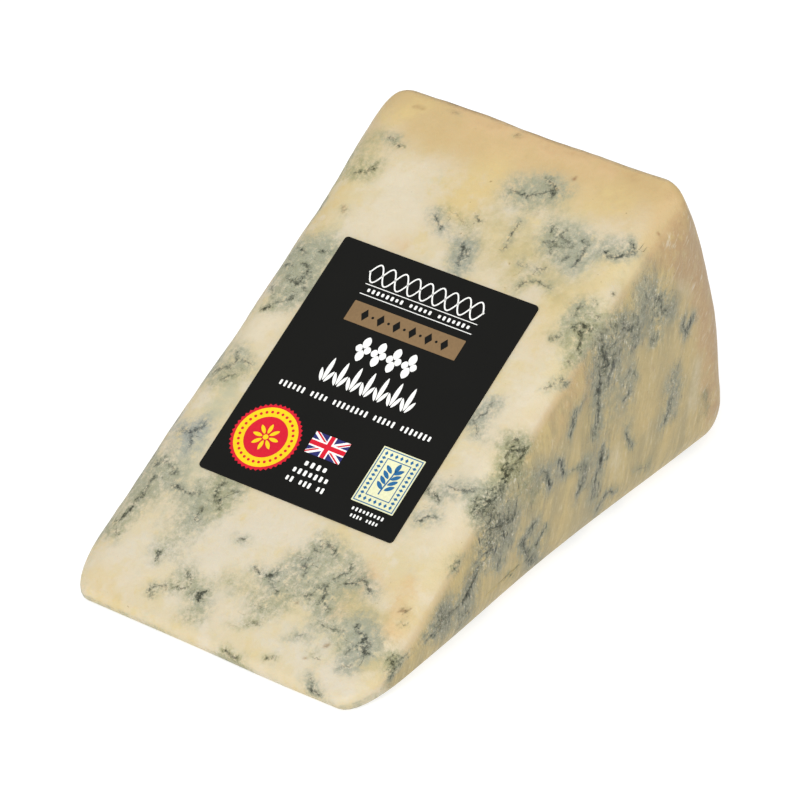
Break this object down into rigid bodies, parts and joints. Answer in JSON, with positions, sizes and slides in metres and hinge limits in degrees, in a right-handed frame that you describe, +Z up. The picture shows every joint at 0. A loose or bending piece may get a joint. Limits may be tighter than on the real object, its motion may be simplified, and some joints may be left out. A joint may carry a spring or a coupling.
{
  "type": "stilton wedge",
  "caption": "Wedge of blue-veined cheese cut from a round wheel, lying on one cut face with a rectangular paper label on the sloping one.",
  "frame": {"origin": "centre of the footprint's bounding box, on the surface that the wedge lies on", "axes": "+X from the thin tip to the rind, +Y along the wheel's axis, +Z up"},
  "size_m": [0.0962, 0.0586, 0.0495],
  "materials": {
    "cheese": "moist satin, cream with blue-green veins",
    "label": "satin black print"
  },
  "bodies": {
    "root": {"cheese": "cheese", "label": "label"}
  },
  "joints": []
}
